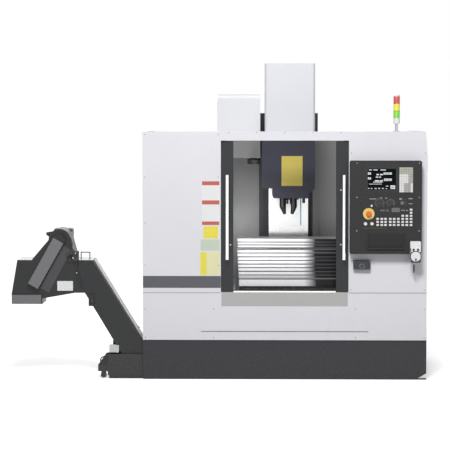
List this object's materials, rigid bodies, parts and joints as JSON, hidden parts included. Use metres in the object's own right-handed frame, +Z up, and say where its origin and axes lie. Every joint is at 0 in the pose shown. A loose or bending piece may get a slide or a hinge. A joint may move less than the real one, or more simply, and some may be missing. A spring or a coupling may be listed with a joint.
{
  "type": "machining centre",
  "caption": "Vertical machining centre with sheet-metal enclosure, sliding doors, control box and side chip conveyor.",
  "frame": {"origin": "on the floor, under the middle of the whole machine's box, conveyor included", "axes": "+X to the machine's right as the operator faces it, +Y to its back, +Z up; the operator stands on the -Y side"},
  "size_m": [3.286, 2.353, 2.51],
  "materials": {
    "panel_white": "satin",
    "skirt_dark": "satin",
    "sill_beige": "satin",
    "casting_grey": "matte",
    "head_dark": "satin",
    "ground_iron": "ground",
    "stainless": "brushed",
    "polished_steel": "polished",
    "lining_grey": "satin",
    "door_dark": "satin",
    "chrome_bar": "polished",
    "window_glass": "clear",
    "box_dark": "textured",
    "screen_glass": "gloss",
    "key_grey": "matte",
    "stop_red": "gloss",
    "knob_black": "matte",
    "push_green": "gloss",
    "push_white": "gloss",
    "port_black": "matte",
    "pendant_white": "matte",
    "lead_black": "matte",
    "lens_set": "gloss",
    "conveyor_dark": "satin",
    "belt_steel": "worn",
    "motor_grey": "satin",
    "tank_dark": "satin",
    "caster_rubber": "matte",
    "foot_steel": "plain",
    "cabinet_white": "satin",
    "nozzle_black": "matte",
    "pole_grey": "satin"
  },
  "bodies": {
    "machine": {"bed": "casting_grey", "levelling_feet": "foot_steel", "column": "casting_grey", "base_skirt": "skirt_dark", "lower_front_panel": "panel_white", "left_front_panel": "panel_white", "right_front_panel": "panel_white", "door_header": "panel_white", "door_sill": "sill_beige", "left_side_panel": "panel_white", "right_side_panel": "panel_white", "cabin_lining": "lining_grey", "magazine_cover": "panel_white", "electrical_cabinet": "cabinet_white", "z_cover_lower": "stainless", "control_box": "box_dark", "control_screen": "screen_glass", "control_keys": "key_grey", "service_port_box": "port_black", "pendant_body": "pendant_white", "pendant_lead": "lead_black", "signal_pole": "pole_grey", "signal_lenses": "lens_set", "conveyor_housing": "conveyor_dark", "conveyor_belt": "belt_steel", "chain_guard": "conveyor_dark", "conveyor_gearmotor": "motor_grey", "coolant_tank": "tank_dark", "coolant_pump": "motor_grey"},
    "saddle": {"saddle": "ground_iron"},
    "table": {"table": "ground_iron"},
    "x_screw": {"x_screw": "polished_steel"},
    "y_screw": {"y_screw": "polished_steel"},
    "z_screw": {"z_screw": "polished_steel"},
    "head": {"head": "head_dark", "head_cover": "panel_white", "z_cover_upper": "stainless", "coolant_nozzles": "nozzle_black"},
    "spindle": {"spindle": "polished_steel"},
    "left_door": {"left_door": "door_dark", "left_door_window": "window_glass", "left_door_handle": "chrome_bar"},
    "right_door": {"right_door": "door_dark", "right_door_window": "window_glass", "right_door_handle": "chrome_bar"},
    "cover_hood_1": {"cover_hood_1": "stainless"},
    "cover_hood_2": {"cover_hood_2": "stainless"},
    "cover_hood_3": {"cover_hood_3": "stainless"},
    "magazine_drum": {"magazine_drum": "motor_grey"},
    "change_arm": {"change_arm": "polished_steel"},
    "electrical_door": {"electrical_door": "cabinet_white"},
    "emergency_stop": {"emergency_stop": "stop_red"},
    "feed_knob": {"feed_knob": "knob_black"},
    "speed_knob": {"speed_knob": "knob_black"},
    "start_button": {"start_button": "push_white"},
    "hold_button": {"hold_button": "push_green"},
    "handwheel": {"handwheel": "knob_black"},
    "conveyor_shaft": {"conveyor_shaft": "polished_steel"},
    "caster_wheel_front": {"caster_wheel_front": "caster_rubber"},
    "caster_wheel_rear": {"caster_wheel_rear": "caster_rubber"}
  },
  "joints": [
    {"name": "saddle_slide", "type": "slide", "parent": "machine", "child": "saddle", "axis": [0, 1, 0], "range_m": [-0.16, 0.24]},
    {"name": "table_slide", "type": "slide", "parent": "saddle", "child": "table", "axis": [1, 0, 0], "range_m": [-0.3, 0.3]},
    {"name": "head_slide", "type": "slide", "parent": "machine", "child": "head", "axis": [0, 0, 1], "range_m": [-0.1, 0.365]},
    {"name": "spindle_turn", "type": "hinge", "parent": "head", "child": "spindle", "pos_m": [0.571, -0.2845, 1.395], "axis": [0, 0, 1], "continuous": true},
    {"name": "x_screw_turn", "type": "hinge", "parent": "saddle", "child": "x_screw", "pos_m": [0.571, -0.3245, 0.95], "axis": [1, 0, 0], "range_deg": [-10810.8, 10810.8]},
    {"name": "y_screw_turn", "type": "hinge", "parent": "machine", "child": "y_screw", "pos_m": [0.571, -0.3245, 0.6975], "axis": [0, 1, 0], "range_deg": [-5765.76, 8648.64]},
    {"name": "z_screw_turn", "type": "hinge", "parent": "machine", "child": "z_screw", "pos_m": [0.571, 0.2505, 1.4], "axis": [0, 0, 1], "range_deg": [-3603.6, 13153.14]},
    {"name": "hood_1_slide", "type": "slide", "parent": "machine", "child": "cover_hood_1", "axis": [0, 1, 0], "range_m": [-0.12, 0.18]},
    {"name": "hood_2_slide", "type": "slide", "parent": "machine", "child": "cover_hood_2", "axis": [0, 1, 0], "range_m": [-0.08, 0.12]},
    {"name": "hood_3_slide", "type": "slide", "parent": "machine", "child": "cover_hood_3", "axis": [0, 1, 0], "range_m": [-0.04, 0.06]},
    {"name": "left_door_slide", "type": "slide", "parent": "machine", "child": "left_door", "axis": [1, 0, 0], "range_m": [0, 0.403]},
    {"name": "right_door_slide", "type": "slide", "parent": "machine", "child": "right_door", "axis": [-1, 0, 0], "range_m": [0, 0.403]},
    {"name": "drum_turn", "type": "hinge", "parent": "machine", "child": "magazine_drum", "pos_m": [0.095, -0.092, 2.003], "axis": [1, 0, 0], "continuous": true},
    {"name": "arm_drop", "type": "slide", "parent": "machine", "child": "change_arm", "axis": [0, 0, -1], "range_m": [0, 0.115]},
    {"name": "cabinet_door_hinge", "type": "hinge", "parent": "machine", "child": "electrical_door", "pos_m": [1.175, 1.1505, 1.16], "axis": [0, 0, -1], "range_deg": [0, 110]},
    {"name": "stop_push", "type": "slide", "parent": "machine", "child": "emergency_stop", "axis": [0, 1, 0], "range_m": [0, 0.006]},
    {"name": "start_push", "type": "slide", "parent": "machine", "child": "start_button", "axis": [0, 1, 0], "range_m": [0, 0.003], "stiffness_N_per_m": 300},
    {"name": "hold_push", "type": "slide", "parent": "machine", "child": "hold_button", "axis": [0, 1, 0], "range_m": [0, 0.003], "stiffness_N_per_m": 300},
    {"name": "feed_knob_turn", "type": "hinge", "parent": "machine", "child": "feed_knob", "pos_m": [1.264, -1.1045, 1.402], "axis": [0, 1, 0], "range_deg": [-135, 135]},
    {"name": "speed_knob_turn", "type": "hinge", "parent": "machine", "child": "speed_knob", "pos_m": [1.349, -1.1045, 1.402], "axis": [0, 1, 0], "range_deg": [-135, 135]},
    {"name": "handwheel_turn", "type": "hinge", "parent": "machine", "child": "handwheel", "pos_m": [1.542, -1.1465, 0.986], "axis": [0, 1, 0], "continuous": true},
    {"name": "conveyor_shaft_turn", "type": "hinge", "parent": "machine", "child": "conveyor_shaft", "pos_m": [-1.26, -0.8295, 1.101], "axis": [0, 1, 0], "continuous": true},
    {"name": "caster_front_spin", "type": "hinge", "parent": "machine", "child": "caster_wheel_front", "pos_m": [-0.914, -0.9505, 0.025], "axis": [0, 1, 0], "continuous": true},
    {"name": "caster_rear_spin", "type": "hinge", "parent": "machine", "child": "caster_wheel_rear", "pos_m": [-0.914, -0.4585, 0.025], "axis": [0, 1, 0], "continuous": true}
  ],
  "couplings": [
    {"joint": "x_screw_turn", "follows": "table_slide", "rad_per_m": 628.32},
    {"joint": "y_screw_turn", "follows": "saddle_slide", "rad_per_m": 628.32},
    {"joint": "z_screw_turn", "follows": "head_slide", "rad_per_m": 628.32},
    {"joint": "hood_1_slide", "follows": "saddle_slide", "ratio": 0.75},
    {"joint": "hood_2_slide", "follows": "saddle_slide", "ratio": 0.5},
    {"joint": "hood_3_slide", "follows": "saddle_slide", "ratio": 0.25}
  ]
}
